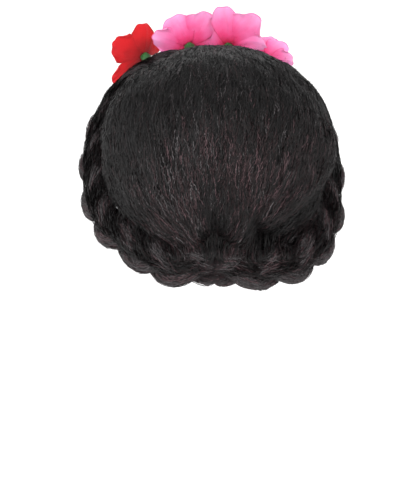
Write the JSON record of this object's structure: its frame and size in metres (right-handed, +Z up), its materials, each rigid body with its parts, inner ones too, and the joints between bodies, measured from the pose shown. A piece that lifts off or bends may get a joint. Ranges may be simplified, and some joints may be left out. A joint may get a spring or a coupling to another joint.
{
  "type": "braided wig",
  "caption": "Dark braided wig: puffed back hair in a crown braid over a stretch cap, with cloth flowers on the top of the braid.",
  "frame": {"origin": "inside of the cap at the crown, where the top of the wearer's head bears", "axes": "+Z up, +Y towards the back of the head, +X towards the wearer's left"},
  "size_m": [0.2547, 0.2225, 0.2667],
  "materials": {
    "hair": "crimped synthetic hair, soft sheen",
    "cap_mesh": "knitted stretch mesh, matt",
    "red_petals": "printed polyester cloth",
    "red_inner_petals": "printed polyester cloth",
    "pink_petals": "printed polyester cloth",
    "pink_inner_petals": "printed polyester cloth",
    "calyx_green": "moulded, satin",
    "flower_center": "moulded, matt"
  },
  "bodies": {
    "root": {"cap": "cap_mesh", "crown_hair": "hair", "edge_hair_left": "hair", "edge_hair_right": "hair", "braid_left_strand_1": "hair", "braid_left_strand_2": "hair", "braid_left_strand_3": "hair", "braid_right_strand_1": "hair", "braid_right_strand_2": "hair", "braid_right_strand_3": "hair", "red_flower_outer_petals": "red_petals", "red_flower_inner_petals": "red_inner_petals", "red_flower_center": "flower_center", "red_flower_calyx": "calyx_green", "pink_left_flower_outer_petals": "pink_petals", "pink_left_flower_inner_petals": "pink_inner_petals", "pink_left_flower_center": "flower_center", "pink_left_flower_calyx": "calyx_green", "pink_middle_flower_outer_petals": "pink_petals", "pink_middle_flower_inner_petals": "pink_inner_petals", "pink_middle_flower_center": "flower_center", "pink_middle_flower_calyx": "calyx_green", "pink_right_flower_outer_petals": "pink_petals", "pink_right_flower_inner_petals": "pink_inner_petals", "pink_right_flower_center": "flower_center", "pink_right_flower_calyx": "calyx_green"}
  },
  "joints": []
}
